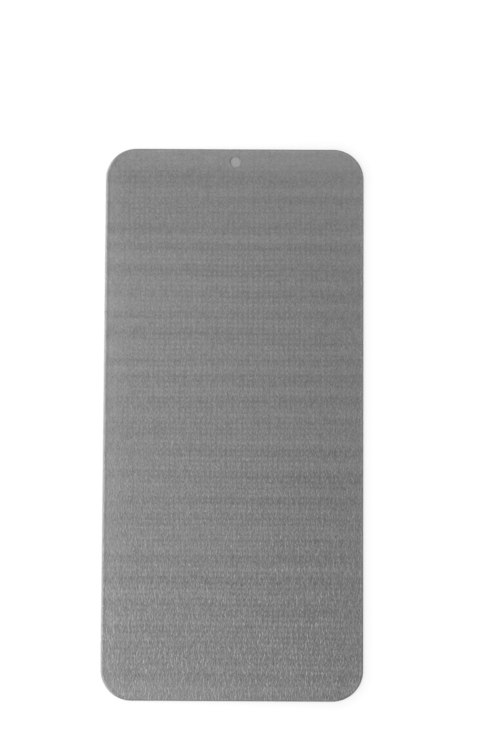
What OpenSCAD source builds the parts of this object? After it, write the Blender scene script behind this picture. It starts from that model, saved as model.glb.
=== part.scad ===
// Privacy screen protector for a phone, as supplied: a tempered glass pane with a ground front edge, a dark
// film laminated behind it, the film's adhesive, and the liner that keeps the adhesive clean until it is fitted.
// It lies on its liner: +Z is out of the front face, +Y is towards the end with the camera hole.

/* [Outline] */
// Width of the pane, across the phone
pane_w = 72.4; // [60:0.1:80]
// Height of the pane, along the phone
pane_h = 154.0; // [130:0.1:170]
// Radius of the pane's corners, seen from the front
corner_r = 8.6; // [4:0.1:14]

/* [Camera hole] */
// Diameter of the hole that is drilled for the front camera
hole_d = 3.2; // [2:0.1:4.5]
// Distance from the pane's top edge to the middle of the hole
hole_drop = 3.65; // [3.6:0.05:8]
// Bevel that breaks the glass's front and rear edges round the hole
hole_bevel = 0.05; // [0.02:0.01:0.1]

/* [Glass pane] */
// Thickness of the glass
glass_t = 0.33; // [0.28:0.01:0.55]
// Width of the rounded band that is ground round the front face
edge_w = 0.9; // [0.4:0.05:1.5]
// Depth that the rounded band falls from the front face to the rim
edge_drop = 0.18; // [0.08:0.01:0.2]
// Bevel that breaks the rim's rear corner
rim_bevel = 0.04; // [0.02:0.01:0.06]

/* [Privacy film] */
// Thickness of the dark film
film_t = 0.2; // [0.1:0.01:0.3]
// Margin that the film and its adhesive keep inside the glass's rim, all round
film_margin = 0.3; // [0.1:0.05:0.8]

/* [Adhesive layer] */
// Thickness of the silicone adhesive on the back of the film
adhesive_t = 0.15; // [0.08:0.01:0.25]

/* [Release liner] */
// Thickness of the liner, which is cut to the glass's outline and closes the back of the hole
liner_t = 0.075; // [0.05:0.005:0.15]

/* [Hidden] */
$fn = 96;

// The layers lie on each other face to face, so each one starts where the one below it ends
adhesive_z = liner_t;
film_z = adhesive_z + adhesive_t;
glass_z = film_z + film_t;

// Distances from the middle of the pane to the centres of its corners
corner_x = pane_w / 2 - corner_r;
corner_y = pane_h / 2 - corner_r;

// Radius of the arc that leaves the front face level and meets the rim at the drop
edge_arc_r = (edge_w * edge_w + edge_drop * edge_drop) / (2 * edge_drop);

// How far a cut reaches past the face it opens
past = 0.1;

// The pane's outline from the front, drawn in by a margin on every side
module outline(margin) {
    square([2 * corner_x, pane_h - 2 * margin], center = true);
    square([pane_w - 2 * margin, 2 * corner_y], center = true);
    for (x = [-corner_x, corner_x], y = [-corner_y, corner_y])
        translate([x, y])
            circle(r = corner_r - margin);
}

// Puts what it is given on the camera hole's axis
module at_hole() {
    translate([0, pane_h / 2 - hole_drop, 0])
        children();
}

// A layer behind the glass, with the camera hole punched through it
module punched_layer(thickness) {
    linear_extrude(height = thickness)
        difference() {
            outline(film_margin);
            at_hole()
                circle(d = hole_d);
        }
}

// What grinding takes off the front of the section: all that lies outside the rounded band's arc
module ground_away() {
    difference() {
        square([edge_w + past, edge_drop + past]);
        translate([0, edge_drop - edge_arc_r])
            circle(r = edge_arc_r);
    }
}

// The glass cut square across its edge, from the line of the corners' centres out to the rim
module edge_section() {
    difference() {
        square([corner_r, glass_t]);
        translate([corner_r - edge_w, glass_t - edge_drop])
            ground_away();
        translate([corner_r, 0])
            rotate(45)
                square(sqrt(2) * rim_bevel, center = true);
    }
}

// The section along one straight side, whose half length is given
module straight_edge(half_length) {
    translate([0, half_length, 0])
        rotate([90, 0, 0])
            linear_extrude(height = 2 * half_length)
                edge_section();
}

// The section turned round one corner
module corner_edge() {
    rotate_extrude(angle = 90)
        edge_section();
}

// The solid blank: a flat middle, with the section swept along four sides and round four corners
module glass_blank() {
    translate([-corner_x, -corner_y, 0])
        cube([2 * corner_x, 2 * corner_y, glass_t]);
    for (turn = [0, 180])
        rotate(turn) {
            translate([corner_x, 0, 0])
                straight_edge(corner_y);
            translate([corner_x, corner_y, 0])
                corner_edge();
            rotate(90) {
                translate([corner_y, 0, 0])
                    straight_edge(corner_x);
                translate([corner_y, corner_x, 0])
                    corner_edge();
            }
        }
}

// Opens the edge of the hole at the glass's front face by the bevel
module hole_mouth() {
    translate([0, 0, glass_t - hole_bevel])
        cylinder(h = hole_bevel + past, r1 = hole_d / 2, r2 = hole_d / 2 + hole_bevel + past);
}

// The drill for the glass, with both edges of the hole bevelled
module drill() {
    translate([0, 0, -past])
        cylinder(h = glass_t + 2 * past, d = hole_d);
    hole_mouth();
    translate([0, 0, glass_t])
        mirror([0, 0, 1])
            hole_mouth();
}

module glass_pane() {
    color([0.83, 0.87, 0.88], 0.4)
        translate([0, 0, glass_z])
            difference() {
                glass_blank();
                at_hole()
                    drill();
            }
}

module privacy_film() {
    color([0.46, 0.46, 0.46])
        translate([0, 0, film_z])
            punched_layer(film_t);
}

module adhesive_layer() {
    color([0.78, 0.8, 0.8], 0.5)
        translate([0, 0, adhesive_z])
            punched_layer(adhesive_t);
}

module release_liner() {
    color([0.72, 0.74, 0.75])
        linear_extrude(height = liner_t)
            outline(0);
}

glass_pane();
privacy_film();
adhesive_layer();
release_liner();
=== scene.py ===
import math

import bpy
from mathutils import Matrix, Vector


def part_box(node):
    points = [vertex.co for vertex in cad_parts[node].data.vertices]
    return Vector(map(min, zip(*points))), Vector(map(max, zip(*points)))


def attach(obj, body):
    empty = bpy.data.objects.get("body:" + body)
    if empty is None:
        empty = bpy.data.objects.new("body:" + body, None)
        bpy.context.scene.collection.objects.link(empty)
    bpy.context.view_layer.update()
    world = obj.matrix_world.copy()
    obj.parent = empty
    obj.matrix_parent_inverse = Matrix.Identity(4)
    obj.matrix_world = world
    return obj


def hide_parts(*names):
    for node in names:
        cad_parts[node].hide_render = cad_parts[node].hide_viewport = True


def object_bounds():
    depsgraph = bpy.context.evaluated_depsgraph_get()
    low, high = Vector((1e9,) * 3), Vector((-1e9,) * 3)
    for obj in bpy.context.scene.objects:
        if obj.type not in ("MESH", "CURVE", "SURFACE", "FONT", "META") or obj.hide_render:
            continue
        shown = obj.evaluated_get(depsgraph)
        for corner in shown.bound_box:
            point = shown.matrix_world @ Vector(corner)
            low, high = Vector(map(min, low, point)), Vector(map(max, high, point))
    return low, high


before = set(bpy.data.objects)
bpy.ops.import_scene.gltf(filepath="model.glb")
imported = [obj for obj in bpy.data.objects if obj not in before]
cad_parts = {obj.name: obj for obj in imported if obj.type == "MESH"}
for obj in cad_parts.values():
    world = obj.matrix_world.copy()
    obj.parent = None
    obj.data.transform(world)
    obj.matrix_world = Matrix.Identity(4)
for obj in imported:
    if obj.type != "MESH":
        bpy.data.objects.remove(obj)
cad_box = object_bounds()


# Glass pane
# Clear tempered glass, 0.33 mm thick, cut to the outline of the phone's display. Its front edge is ground to
# a shallow arc, its rear corner is broken, and the camera hole near its top edge is bevelled at both rims.
# It is made as one sweep round the outline and one down the hole, closed by two flat faces.

mm = 0.001
glass_low, glass_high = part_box("glass_pane")
corner_radius = 8.6 * mm
edge_width = 0.9 * mm
edge_drop = 0.18 * mm
rim_bevel = 0.04 * mm
hole_diameter = 3.2 * mm
hole_drop = 3.65 * mm
hole_bevel = 0.05 * mm
rear_clearance = 0.01 * mm
glass_tint = (0.97, 0.98, 0.975, 1)
glass_index = 1.5
wheel_mark = 0.15 * mm
wheel_mark_range = 0.5
polished_roughness = 0.015
ground_roughness = 0.2
flat_face_pass = (0.98, 0.98, 0.98, 1)
ground_pass = 0.7


def fill(tree, node, inputs):
    """Fills a node's sockets, each with a value or from another node's output."""
    for socket, value in inputs.items():
        if isinstance(value, bpy.types.NodeSocket):
            tree.links.new(value, node.inputs[socket])
        else:
            node.inputs[socket].default_value = value


def add_node(tree, kind, inputs=None, **settings):
    """Adds a node to a tree, makes its settings and fills its sockets."""
    node = tree.nodes.new(kind)
    for name, value in settings.items():
        setattr(node, name, value)
    fill(tree, node, inputs or {})
    return node


def result(tree, kind, inputs=None, **settings):
    """The first output of a new node."""
    return add_node(tree, kind, inputs, **settings).outputs[0]


def maths(tree, operation, *terms):
    """The result of one Math node, from values or from other nodes' outputs."""
    return result(tree, "ShaderNodeMath", dict(enumerate(terms)), operation=operation)


def point(tree, x=0.0, y=0.0, z=0.0):
    """A place or a size from its three parts."""
    return result(tree, "ShaderNodeCombineXYZ", {"X": x, "Y": y, "Z": z})


def ramp(tree, value, low, high, at_low, at_high, kind="LINEAR"):
    """Goes from one figure to another while a value goes from low to high, and stays level outside them."""
    given = {"Value": value, "From Min": low, "From Max": high, "To Min": at_low, "To Max": at_high}
    return result(tree, "ShaderNodeMapRange", given, interpolation_type=kind)


def speckle(tree, place, size, detail=0.0):
    """A soft random value about nought, which changes over the given distances along X, Y and Z."""
    scaled = result(tree, "ShaderNodeVectorMath", {0: place, 1: size}, operation="DIVIDE")
    given = {"Vector": scaled, "Scale": 1.0, "Detail": detail}
    return result(tree, "ShaderNodeTexNoise", given, normalize=False)


def own_place(tree):
    """Where a point lies on its piece, in metres."""
    return add_node(tree, "ShaderNodeTexCoord").outputs["Object"]


def new_finish(name):
    """A new material, its node tree and its shader."""
    material = bpy.data.materials.new(name)
    material.use_nodes = True
    tree = material.node_tree
    return material, tree, tree.nodes["Principled BSDF"]


def glass_finish():
    """Clear glass, unevenly matt where the grinding wheel has been."""
    material, tree, shader = new_finish("tempered_glass")
    marks = speckle(tree, own_place(tree), (wheel_mark, wheel_mark, wheel_mark), detail=2.0)
    fill(tree, shader, {
        "Base Color": glass_tint,
        "Transmission Weight": 1,
        "IOR": glass_index,
        "Roughness": ramp(tree, marks, -wheel_mark_range, wheel_mark_range,
                          polished_roughness, ground_roughness),
    })

    # The flat faces are left clear, because the film bonded behind them carries their gloss as its coat.
    # A lamp's light goes straight through them, and each ground surface holds part of it back
    ground = add_node(tree, "ShaderNodeAttribute", attribute_name="ground").outputs["Fac"]
    path = add_node(tree, "ShaderNodeLightPath").outputs
    lamp_light = maths(tree, "MULTIPLY", path["Is Shadow Ray"], ground_pass)
    lighting = maths(tree, "MAXIMUM", lamp_light, path["Is Diffuse Ray"])
    clear_share = maths(tree, "MAXIMUM", lighting, maths(tree, "SUBTRACT", 1.0, ground))
    clear = result(tree, "ShaderNodeBsdfTransparent", {"Color": flat_face_pass})
    surface = result(tree, "ShaderNodeMixShader", {0: clear_share, 1: shader.outputs[0], 2: clear})
    fill(tree, tree.nodes["Material Output"], {"Surface": surface})
    return material


def pane_tree(sizes):
    """Geometry nodes that cut, grind and drill one pane, and then lift it to its height."""
    tree = bpy.data.node_groups.new("ground_and_drilled_pane", "GeometryNodeTree")
    tree.is_modifier = True
    tree.interface.new_socket("Geometry", in_out="OUTPUT", socket_type="NodeSocketGeometry")
    for name, value in sizes.items():
        kind = "NodeSocketInt" if isinstance(value, int) else "NodeSocketFloat"
        tree.interface.new_socket(name, in_out="INPUT", socket_type=kind)
    tree.interface.new_socket("Glass", in_out="INPUT", socket_type="NodeSocketMaterial")
    given = add_node(tree, "NodeGroupInput").outputs
    edge_out, edge_down = given["Edge Width"], given["Edge Drop"]
    thickness, bevel = given["Thickness"], given["Hole Bevel"]

    def moved(geometry, place):
        return result(tree, "GeometryNodeTransform", {"Geometry": geometry, "Translation": place})

    def line(start, end):
        ends = {"Start": point(tree, *start), "End": point(tree, *end)}
        return result(tree, "GeometryNodeCurvePrimitiveLine", ends)

    def joined(*parts):
        node = add_node(tree, "GeometryNodeJoinGeometry")
        for part in parts:
            tree.links.new(part, node.inputs[0])
        return node.outputs[0]

    def swept(path, section):
        upright = result(tree, "GeometryNodeSetCurveNormal", {"Curve": path}, mode="Z_UP")
        return result(tree, "GeometryNodeCurveToMesh", {"Curve": upright, "Profile Curve": section})

    # The flat face's outline: the pane's own, drawn in by the width of the ground edge
    both_edges = maths(tree, "MULTIPLY", edge_out, 2.0)
    rectangle = result(tree, "GeometryNodeCurvePrimitiveQuadrilateral", {
        "Width": maths(tree, "SUBTRACT", given["Width"], both_edges),
        "Height": maths(tree, "SUBTRACT", given["Height"], both_edges)})
    flat_outline = result(tree, "GeometryNodeFilletCurve", {
        "Curve": rectangle, "Count": given["Corner Steps"],
        "Radius": maths(tree, "SUBTRACT", given["Corner Radius"], edge_out)}, mode="POLY")

    # The hole's mouth, where its bevel meets the flat face
    mouth_radius = maths(tree, "MULTIPLY_ADD", given["Hole Diameter"], 0.5, bevel)
    half_height = maths(tree, "MULTIPLY", given["Height"], 0.5)
    hole_y = maths(tree, "SUBTRACT", half_height, given["Hole Drop"])
    circle = result(tree, "GeometryNodeCurvePrimitiveCircle",
                    {"Resolution": given["Hole Steps"], "Radius": mouth_radius})
    mouth = moved(circle, point(tree, y=hole_y))

    # The edge's section, as distance outwards and depth below the front face: the ground arc, then the rim,
    # the broken corner and the strip that leads back to the rear face
    out_squared = maths(tree, "MULTIPLY", edge_out, edge_out)
    out_and_down = maths(tree, "MULTIPLY_ADD", edge_down, edge_down, out_squared)
    arc_radius = maths(tree, "DIVIDE", out_and_down, maths(tree, "MULTIPLY", edge_down, 2.0))
    arc_angle = maths(tree, "ARCSINE", maths(tree, "DIVIDE", edge_out, arc_radius))
    arc = result(tree, "GeometryNodeCurveArc", {
        "Resolution": given["Edge Steps"], "Radius": arc_radius,
        "Start Angle": -math.pi / 2, "Sweep Angle": arc_angle})
    rim_end = maths(tree, "SUBTRACT", thickness, given["Rim Bevel"])
    back_start = maths(tree, "SUBTRACT", edge_out, given["Rim Bevel"])
    edge = swept(flat_outline, joined(
        moved(arc, point(tree, y=arc_radius)),
        line((edge_out, edge_down), (edge_out, rim_end)),
        line((edge_out, rim_end), (back_start, thickness)),
        line((back_start, thickness), (0.0, thickness))))

    # The hole's section, from the rear face up to the front one
    bore_in = maths(tree, "MULTIPLY", bevel, -1.0)
    bore_end = maths(tree, "SUBTRACT", thickness, bevel)
    bore = swept(mouth, joined(
        line((0.0, thickness), (bore_in, bore_end)),
        line((bore_in, bore_end), (bore_in, bevel)),
        line((bore_in, bevel), (0.0, 0.0))))

    # The flat front face, and its copy turned over as the rear face
    front = result(tree, "GeometryNodeFillCurve", {"Curve": joined(flat_outline, mouth)})
    sunk = moved(front, point(tree, z=maths(tree, "MULTIPLY", thickness, -1.0)))
    rear = result(tree, "GeometryNodeFlipFaces", {"Mesh": sunk})

    # Welded into one closed solid, with its ground surfaces marked and shaded smooth up to each crisp edge
    faces = joined(front, rear, edge, bore)
    solid = result(tree, "GeometryNodeMergeByDistance", {"Geometry": faces, "Distance": given["Weld"]})
    normal = result(tree, "GeometryNodeInputNormal")
    upward = maths(tree, "ABSOLUTE", add_node(tree, "ShaderNodeSeparateXYZ", {0: normal}).outputs["Z"])
    is_ground = maths(tree, "LESS_THAN", upward, given["Level Face"])
    marked = result(tree, "GeometryNodeStoreNamedAttribute",
                    {"Geometry": solid, "Name": "ground", "Value": is_ground}, domain="FACE")
    smooth = result(tree, "GeometryNodeSetShadeSmooth", {"Geometry": marked, "Shade Smooth": is_ground})
    fold = add_node(tree, "GeometryNodeInputMeshEdgeAngle").outputs["Unsigned Angle"]
    is_crisp = maths(tree, "GREATER_THAN", fold, given["Crisp Angle"])
    crisp = result(tree, "GeometryNodeSetShadeSmooth",
                   {"Geometry": smooth, "Selection": is_crisp, "Shade Smooth": False}, domain="EDGE")
    placed = moved(crisp, point(tree, z=given["Front Height"]))
    real = result(tree, "GeometryNodeRealizeInstances", {"Geometry": placed})
    made = result(tree, "GeometryNodeSetMaterial", {"Geometry": real, "Material": given["Glass"]})
    add_node(tree, "NodeGroupOutput", {0: made})
    return tree


def grown(name, tree, values):
    """A plain mesh object from a geometry tree, whose named inputs are set before it is evaluated."""
    piece = bpy.data.objects.new(name, bpy.data.meshes.new(name))
    bpy.context.scene.collection.objects.link(piece)
    modifier = piece.modifiers.new("tree", "NODES")
    modifier.node_group = tree
    for socket in tree.interface.items_tree:
        if socket.in_out == "INPUT":
            modifier[socket.identifier] = values[socket.name]
    evaluated = piece.evaluated_get(bpy.context.evaluated_depsgraph_get())
    mesh = bpy.data.meshes.new_from_object(evaluated)
    piece.modifiers.remove(modifier)
    piece.data = mesh
    return piece


# The rear face stops short of the film by the clearance, because two faces in one place would flicker
pane_sizes = {
    "Width": glass_high.x - glass_low.x,
    "Height": glass_high.y - glass_low.y,
    "Front Height": glass_high.z,
    "Thickness": glass_high.z - glass_low.z - rear_clearance,
    "Corner Radius": corner_radius,
    "Edge Width": edge_width,
    "Edge Drop": edge_drop,
    "Rim Bevel": rim_bevel,
    "Hole Diameter": hole_diameter,
    "Hole Drop": hole_drop,
    "Hole Bevel": hole_bevel,
    "Weld": 0.001 * mm,
    "Level Face": 0.9999,
    "Crisp Angle": math.radians(20),
    "Corner Steps": 24,
    "Edge Steps": 13,
    "Hole Steps": 72,
}
pane = grown("glass", pane_tree(pane_sizes), {**pane_sizes, "Glass": glass_finish()})
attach(pane, "root")
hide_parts("glass_pane")


# Privacy film
# A dark polyester film with fine upright louvres inside, laminated to the back of the glass and punched out
# at the camera hole. Over a mottle it shows wavy strokes, whose light and dark flanks are painted side light
# and shade on fine relief, and light threads, both strongest at its lower end, a faint square lattice, and
# the bands that rolling has left. Painted light makes its margin paler, palest along the top, paler on the
# left than on the right and a little paler along the bottom, and a painted slope of light falls off to the
# right, reversed near the top.

film_low, film_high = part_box("privacy_film")
film_grey = 0.212
film_specular = 0.1
roughness_in_hollows = 0.6
roughness_on_ridges = 0.45
grain_range = 0.2
grain_bump = {"Strength": 0.3, "Distance": 0.05 * mm}
mottle_size = (1.3 * mm, 1.6 * mm, 1.3 * mm)
mottle_depth = 0.125
fine_mottle_size = (0.47 * mm, 0.47 * mm, 0.47 * mm)
fine_mottle_depth = 0.24
flank_offset = 0.38
usual_flank = 0.29
# The strokes' light and dark flanks are painted side light and shade on fine upright relief
film_strokes = {"Width": 0.25 * mm, "Length": 0.72 * mm, "Lean": 0.45 * mm, "Lift": 0.6}
stroke_depth_at_top = 0.13
stroke_depth_midway = 0.37
stroke_depth_at_bottom = 0.66
film_threads = {"Width": 0.26 * mm, "Length": 2.2 * mm, "Lean": 0.4 * mm, "Lift": 0.0}
thread_start = 0.3
thread_full = 0.9
thread_depth_at_bottom = 1.25
lattice_pitch_x = 1.448 * mm
lattice_pitch_y = 1.48 * mm
lattice_column_depth = 0.052
lattice_row_depth_in_upper_half = 0.051
lattice_row_depth_at_bottom = 0.085
lattice_knot_depth = 0.048
lattice_unevenness = 0.5
lattice_wander = 0.5 * mm
lattice_patch = (25 * mm, 25 * mm, 25 * mm)
lattice_margin = 16 * mm
lattice_top_margin = 30 * mm
lattice_at_edge = 0.35
band_pitch = 6.3 * mm
band_depth_at_top = 0.063
band_depth_at_bottom = 0.032
band_wander = 3.0 * mm
band_patch = (120 * mm, 30 * mm, 30 * mm)
streak_size = (120 * mm, 3 * mm, 3 * mm)
streak_depth = 0.11
# Painted light: how far and how much the margin, the top and the bottom are paler, and the slope of light
# across
margin_reach = 8 * mm
painted_left_glow = 0.15
painted_right_glow = 0.05
top_reach = 6.5 * mm
painted_top_glow = 0.38
bottom_reach = 18 * mm
painted_bottom_glow = 0.08
painted_light_slope = 0.085
painted_light_slope_at_top = -0.09
slope_reach = 40 * mm


def group_tree(name, numbers, output):
    """An empty shader group that takes a place and some named numbers, and puts out one number."""
    tree = bpy.data.node_groups.new(name, "ShaderNodeTree")
    tree.interface.new_socket("Place", in_out="INPUT", socket_type="NodeSocketVector")
    for number in numbers:
        tree.interface.new_socket(number, in_out="INPUT", socket_type="NodeSocketFloat")
    tree.interface.new_socket(output, in_out="OUTPUT", socket_type="NodeSocketFloat")
    return tree, add_node(tree, "NodeGroupInput").outputs


def upright_strokes_group():
    """Leaning upright strokes, each with a light and a dark flank. Lift makes strong flanks lighter."""
    tree, given = group_tree("upright_strokes", ["Width", "Length", "Lean", "Lift"], "Strokes")
    width, length = given["Width"], given["Length"]
    patch = point(tree, length, length, length)
    lean = maths(tree, "MULTIPLY", speckle(tree, given["Place"], patch), given["Lean"])
    leaning = result(tree, "ShaderNodeVectorMath", {0: given["Place"], 1: point(tree, lean)}, operation="ADD")
    size = point(tree, width, length, length)
    flank = point(tree, maths(tree, "MULTIPLY", width, flank_offset))
    heights = []
    for side in ("ADD", "SUBTRACT"):
        beside = result(tree, "ShaderNodeVectorMath", {0: leaning, 1: flank}, operation=side)
        heights.append(speckle(tree, beside, size))
    flanks = maths(tree, "SUBTRACT", heights[0], heights[1])
    strong = maths(tree, "SUBTRACT", maths(tree, "ABSOLUTE", flanks), usual_flank)
    lifted = maths(tree, "MULTIPLY_ADD", strong, given["Lift"], flanks)
    add_node(tree, "NodeGroupOutput", {"Strokes": lifted})
    return tree


def depth_inside_group():
    """How far a point lies inside an upright rectangle with round corners, less than nought outside it."""
    tree, given = group_tree("depth_inside", ["Half Width", "Half Height", "Corner"], "Depth")
    axes = add_node(tree, "ShaderNodeSeparateXYZ", {0: given["Place"]}).outputs
    past_corner = []
    for axis, half in (("X", given["Half Width"]), ("Y", given["Half Height"])):
        corner_centre = maths(tree, "SUBTRACT", half, given["Corner"])
        past_corner.append(maths(tree, "SUBTRACT", maths(tree, "ABSOLUTE", axes[axis]), corner_centre))
    beyond = point(tree, *[maths(tree, "MAXIMUM", past, 0.0) for past in past_corner])
    reach = add_node(tree, "ShaderNodeVectorMath", {0: beyond}, operation="LENGTH").outputs["Value"]
    inner = maths(tree, "MINIMUM", maths(tree, "MAXIMUM", *past_corner), 0.0)
    from_corner = maths(tree, "ADD", reach, inner)
    add_node(tree, "NodeGroupOutput", {"Depth": maths(tree, "SUBTRACT", given["Corner"], from_corner)})
    return tree


upright_strokes = upright_strokes_group()
depth_inside = depth_inside_group()


def strokes(tree, place, sizes):
    """The shared upright strokes in one material."""
    return result(tree, "ShaderNodeGroup", {"Place": place, **sizes}, node_tree=upright_strokes)


def depth_inside_outline(tree, place, low, high, corner):
    """How far a point lies inside the outline of a piece whose box is centred on the origin."""
    given = {"Place": place, "Half Width": (high.x - low.x) / 2, "Half Height": (high.y - low.y) / 2,
             "Corner": corner}
    return result(tree, "ShaderNodeGroup", given, node_tree=depth_inside)


def depth_inside_film(tree, place):
    """How far a point lies inside the film's outline, which follows the glass's at an even margin."""
    margin = glass_high.x - film_high.x
    return depth_inside_outline(tree, place, film_low, film_high, corner_radius - margin)


def wave(tree, distance, pitch, shift):
    """An even wave along a distance, moved by a shift that wanders."""
    moved = maths(tree, "ADD", distance, shift)
    return maths(tree, "SINE", maths(tree, "MULTIPLY", moved, 2 * math.pi / pitch))


def film_grain(tree, place, height):
    """Two even mottles, strokes that grow stronger down the film, and threads in its lower half."""
    coarse = maths(tree, "MULTIPLY", speckle(tree, place, mottle_size, detail=1.0), mottle_depth)
    fine = maths(tree, "MULTIPLY", speckle(tree, place, fine_mottle_size), fine_mottle_depth)
    mottles = maths(tree, "ADD", coarse, fine)
    upper_depth = ramp(tree, height, 0.0, film_high.y, stroke_depth_midway, stroke_depth_at_top)
    gain = ramp(tree, height, film_low.y, 0.0, stroke_depth_at_bottom - stroke_depth_midway, 0.0)
    depth = maths(tree, "ADD", upper_depth, gain)
    # The strokes' light and dark flanks, added to the colour, are painted side light and shade on fine relief
    stroked = maths(tree, "MULTIPLY_ADD", strokes(tree, place, film_strokes), depth, mottles)
    flanks = strokes(tree, place, film_threads)
    threads = ramp(tree, flanks, thread_start, thread_full, 0.0, 1.0, "SMOOTHSTEP")
    thread_depth = ramp(tree, height, film_low.y, 0.0, thread_depth_at_bottom, 0.0)
    return maths(tree, "MULTIPLY_ADD", threads, thread_depth, stroked)


def film_lattice(tree, place, axes):
    """Two faint waves that cross each other with a knot at each crossing, uneven and weaker near the edge."""
    patch = speckle(tree, place, lattice_patch)
    shift = maths(tree, "MULTIPLY", patch, lattice_wander)
    columns = wave(tree, axes["X"], lattice_pitch_x, shift)
    rows = wave(tree, axes["Y"], lattice_pitch_y, shift)
    row_depth = ramp(tree, axes["Y"], film_low.y, 0.0,
                     lattice_row_depth_at_bottom, lattice_row_depth_in_upper_half)
    knots = maths(tree, "MULTIPLY", maths(tree, "MULTIPLY", columns, rows), lattice_knot_depth)
    row_lines = maths(tree, "MULTIPLY", rows, row_depth)
    lines = maths(tree, "MULTIPLY_ADD", columns, lattice_column_depth, row_lines)
    evenness = maths(tree, "MULTIPLY_ADD", patch, lattice_unevenness, 1.0)
    inside = ramp(tree, depth_inside_film(tree, place), 0.0, lattice_margin, lattice_at_edge, 1.0)
    below_top = ramp(tree, axes["Y"], film_high.y - lattice_top_margin, film_high.y, 1.0, lattice_at_edge)
    share = maths(tree, "MULTIPLY", evenness, maths(tree, "MINIMUM", inside, below_top))
    return maths(tree, "MULTIPLY", maths(tree, "ADD", lines, knots), share)


def film_bands(tree, place, height):
    """Level bands at the rollers' pitch, with finer level streaks between them."""
    shift = maths(tree, "MULTIPLY", speckle(tree, place, band_patch), band_wander)
    depth = ramp(tree, height, film_low.y, film_high.y, band_depth_at_bottom, band_depth_at_top)
    rolled = maths(tree, "MULTIPLY", wave(tree, height, band_pitch, shift), depth)
    return maths(tree, "MULTIPLY_ADD", speckle(tree, place, streak_size, detail=2.0), streak_depth, rolled)


def painted_film_glow(tree, place, axes):
    """Painted light: a paler margin, palest at the top, and a slope of light falling to the right, reversed
    at the top.
    """
    near_edge = ramp(tree, depth_inside_film(tree, place), 0.0, margin_reach, 1.0, 0.0, "SMOOTHSTEP")
    side_glow = ramp(tree, axes["X"], film_low.x, film_high.x, painted_left_glow, painted_right_glow)
    margin = maths(tree, "MULTIPLY", near_edge, side_glow)
    top = ramp(tree, axes["Y"], film_high.y - top_reach, film_high.y, 0.0, painted_top_glow)
    bottom = ramp(tree, axes["Y"], film_low.y, film_low.y + bottom_reach, painted_bottom_glow, 0.0, "SMOOTHSTEP")
    # A painted slope of light: lighter on the left, and lighter on the right near the top
    slope = ramp(tree, axes["Y"], film_high.y - slope_reach, film_high.y, painted_light_slope, painted_light_slope_at_top)
    across = maths(tree, "MULTIPLY", ramp(tree, axes["X"], film_low.x, film_high.x, 1.0, -1.0), slope)
    ends = maths(tree, "ADD", maths(tree, "MAXIMUM", margin, top), bottom)
    return maths(tree, "ADD", ends, across)


def film_finish():
    """Matt dark grey film under a polished coat, with each change of tone as a share of the even grey."""
    material, tree, shader = new_finish("dark_privacy_film")
    place = own_place(tree)
    axes = add_node(tree, "ShaderNodeSeparateXYZ", {0: place}).outputs
    grain = film_grain(tree, place, axes["Y"])
    pattern = maths(tree, "ADD", film_lattice(tree, place, axes), film_bands(tree, place, axes["Y"]))
    # The painted light of the margin, top, bottom and sides is added to the film's own grain and pattern here
    change = maths(tree, "ADD", maths(tree, "ADD", grain, pattern), painted_film_glow(tree, place, axes))
    fill(tree, shader, {
        "Base Color": maths(tree, "MULTIPLY_ADD", change, film_grey, film_grey),
        "Roughness": ramp(tree, grain, -grain_range, grain_range, roughness_in_hollows, roughness_on_ridges),
        "Normal": result(tree, "ShaderNodeBump", {"Height": grain, **grain_bump}),
        "Specular IOR Level": film_specular,
        "Coat Weight": 1,
        "Coat Roughness": polished_roughness,
        "Coat IOR": glass_index,
    })
    return material


def dress(node_name, material):
    """Gives a CAD node its finish, in its one material slot."""
    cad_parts[node_name].material_slots[0].material = material


dress("privacy_film", film_finish())


# Adhesive layer
# Clear silicone, coated on the back of the film and punched with it. It shows only as a thin glassy line at
# the edge and in the wall of the hole, with the faint streaks that coating leaves in it.

silicone_thin = (0.56, 0.56, 0.56, 1)
silicone_thick = (0.65, 0.65, 0.65, 1)
silicone_roughness_thin = 0.22
silicone_roughness_thick = 0.34
silicone_alpha = 0.6
silicone_index = 1.41
coating_streaks = {"Width": 0.8 * mm, "Length": 9 * mm, "Lean": 0.6 * mm, "Lift": 0.0}
coating_range = 0.4


def colour_between(tree, share, first, second):
    """One colour going over into another while a share goes from nought to one."""
    return add_node(tree, "ShaderNodeMix", {0: share, 6: first, 7: second}, data_type="RGBA").outputs[2]


def adhesive_finish():
    """Clear soft silicone, slightly cloudy along its coating streaks."""
    material, tree, shader = new_finish("clear_silicone")
    streaks = strokes(tree, own_place(tree), coating_streaks)
    cloud = ramp(tree, streaks, -coating_range, coating_range, 0.0, 1.0)
    fill(tree, shader, {
        "Base Color": colour_between(tree, cloud, silicone_thin, silicone_thick),
        "Roughness": ramp(tree, cloud, 0.0, 1.0, silicone_roughness_thin, silicone_roughness_thick),
        "IOR": silicone_index,
        "Alpha": silicone_alpha,
    })
    return material


dress("adhesive_layer", adhesive_finish())


# Release liner
# A thin milky polyester film, cut to the glass's outline, that keeps the adhesive clean until the pane is
# fitted. It isn't punched, so it closes the camera hole from behind. Elsewhere the dark film shows faintly
# through it.

liner_bare = (0.335, 0.335, 0.335, 1)
liner_over_film = (0.27, 0.27, 0.27, 1)
liner_seam = 0.06 * mm
drawing_lines = {"Width": 0.5 * mm, "Length": 60 * mm, "Lean": 0.3 * mm, "Lift": 0.0}
line_range = 0.5
line_depth = 0.04
line_bump = {"Strength": 0.1, "Distance": 0.02 * mm}
roughness_beside_lines = 0.24
roughness_on_lines = 0.36
cloud_size = (18 * mm, 40 * mm, 18 * mm)
cloud_depth = 0.12


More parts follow.
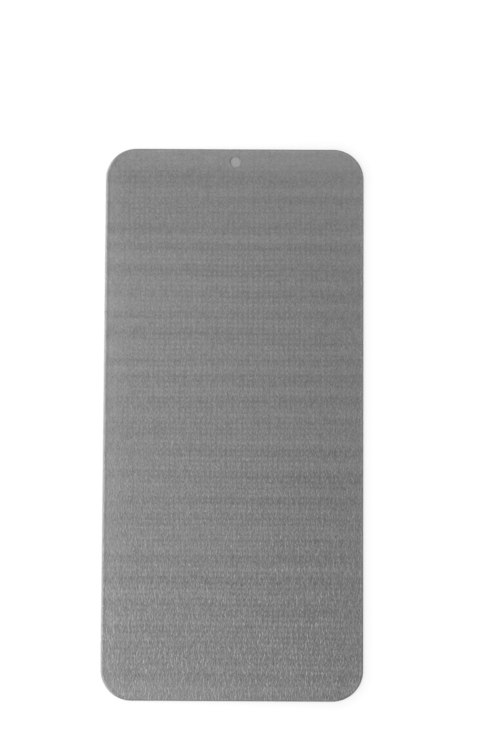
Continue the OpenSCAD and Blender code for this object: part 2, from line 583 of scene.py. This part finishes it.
def liner_finish():
    """Semi-gloss milky film, darker where the dark film lies behind it."""
    material, tree, shader = new_finish("milky_liner_film")
    place = own_place(tree)
    outside = maths(tree, "MULTIPLY", depth_inside_film(tree, place), -1.0)
    hole_centre = (0.0, glass_high.y - hole_drop, glass_low.z)
    from_hole = add_node(tree, "ShaderNodeVectorMath", {0: place, 1: hole_centre}, operation="DISTANCE")
    in_hole = maths(tree, "SUBTRACT", hole_diameter / 2, from_hole.outputs["Value"])
    bare = ramp(tree, maths(tree, "MAXIMUM", outside, in_hole), -liner_seam, liner_seam, 0.0, 1.0)
    colour = colour_between(tree, bare, liner_over_film, liner_bare)
    lines = strokes(tree, place, drawing_lines)
    cloudy = maths(tree, "MULTIPLY_ADD", speckle(tree, place, cloud_size, detail=2.0), cloud_depth, 1.0)
    shade = maths(tree, "MULTIPLY_ADD", lines, line_depth, cloudy)
    fill(tree, shader, {
        "Base Color": result(tree, "ShaderNodeVectorMath", {0: colour, "Scale": shade}, operation="SCALE"),
        "Roughness": ramp(tree, lines, -line_range, line_range, roughness_beside_lines, roughness_on_lines),
        "Normal": result(tree, "ShaderNodeBump", {"Height": lines, **line_bump}),
    })
    return material


dress("release_liner", liner_finish())


# Table top
# A plain white surface that carries the pane. It is seen and takes the pane's shadow, but light passes it
# from below, so that the pane's back can be looked at too.

table_size = 8.0
table_gap = 0.02 * mm
table_white = 0.3
near_lift = 0.68
far_lift = 1.0
lift_reach = 12 * mm


def seen_by_eye(tree):
    """One for rays that look at a surface, straight, mirrored or through glass, and nought for the others."""
    path = add_node(tree, "ShaderNodeLightPath").outputs
    bent = maths(tree, "MAXIMUM", path["Is Glossy Ray"], path["Is Transmission Ray"])
    return maths(tree, "MAXIMUM", path["Is Camera Ray"], bent)


def table_finish():
    """White, lifted to full white away from the pane, and left out for rays that light and from below."""
    material, tree, shader = new_finish("white_table")
    tree.nodes.remove(shader)
    inside = depth_inside_outline(tree, own_place(tree), glass_low, glass_high, corner_radius)
    lift = ramp(tree, inside, -lift_reach, 0.0, far_lift, near_lift)
    matt = result(tree, "ShaderNodeBsdfDiffuse", {"Color": (table_white, table_white, table_white, 1)})
    glow = result(tree, "ShaderNodeEmission", {"Strength": lift})
    white = result(tree, "ShaderNodeAddShader", {0: matt, 1: glow})
    below = add_node(tree, "ShaderNodeNewGeometry").outputs["Backfacing"]
    shown = maths(tree, "MULTIPLY", seen_by_eye(tree), maths(tree, "SUBTRACT", 1.0, below))
    clear = result(tree, "ShaderNodeBsdfTransparent")
    surface = result(tree, "ShaderNodeMixShader", {0: shown, 1: clear, 2: white})
    fill(tree, tree.nodes["Material Output"], {"Surface": surface})
    return material


table_half = table_size / 2
table_level = cad_box[0].z - table_gap
table_sides = [(-1, -1), (1, -1), (1, 1), (-1, 1)]
table_corners = [(x * table_half, y * table_half, table_level) for x, y in table_sides]
table_mesh = bpy.data.meshes.new("table_top")
table_mesh.from_pydata(table_corners, [], [(0, 1, 2, 3)])
table_mesh.materials.append(table_finish())
table_top = bpy.data.objects.new("table_top", table_mesh)
bpy.context.scene.collection.objects.link(table_top)


# Studio light
# An even pale surround, a large soft lamp low over the left side and a weaker one over the right. Together
# they light a level surface so that a colour renders about as it is written, a little lighter on the left.

surround_level = 0.32
lamps = {
    "key_light": {"place": (-0.16, 0.0, 0.18), "size": (0.4, 0.12), "watts": 0.65},
    "fill_light": {"place": (0.5, 0.15, 0.6), "size": (0.4, 0.4), "watts": 0.5},
}

world = bpy.data.worlds.new("surround")
bpy.context.scene.world = world
world.use_nodes = True
sky = world.node_tree
strength = ramp(sky, seen_by_eye(sky), 0.0, 1.0, surround_level, 1.0)
fill(sky, sky.nodes["Background"], {"Color": (1, 1, 1, 1), "Strength": strength})

for name, lamp in lamps.items():
    data = bpy.data.lights.new(name, "AREA")
    data.shape = "RECTANGLE"
    data.size, data.size_y = lamp["size"]
    data.energy = lamp["watts"]
    light = bpy.data.objects.new(name, data)
    light.location = lamp["place"]
    light.rotation_euler = (-Vector(lamp["place"])).to_track_quat("-Z", "Y").to_euler()
    light.visible_camera = False
    bpy.context.scene.collection.objects.link(light)


# Camera
# It looks down on the pane from 0.65 m, tipped a little towards the far end and turned by a third of a
# degree, through a long lens that shows the pane almost without perspective.

camera_data = bpy.data.cameras.new("camera")
camera_data.lens = 112.0
camera_data.sensor_width = 36.0
camera_data.clip_start = 0.01
camera = bpy.data.objects.new("camera", camera_data)
camera.location = (4.9 * mm, -48.2 * mm, 648.2 * mm)
camera.rotation_euler = (math.radians(5.416), 0, math.radians(0.311))
bpy.context.scene.collection.objects.link(camera)
bpy.context.scene.camera = camera

bpy.context.scene.view_settings.view_transform = "Standard"
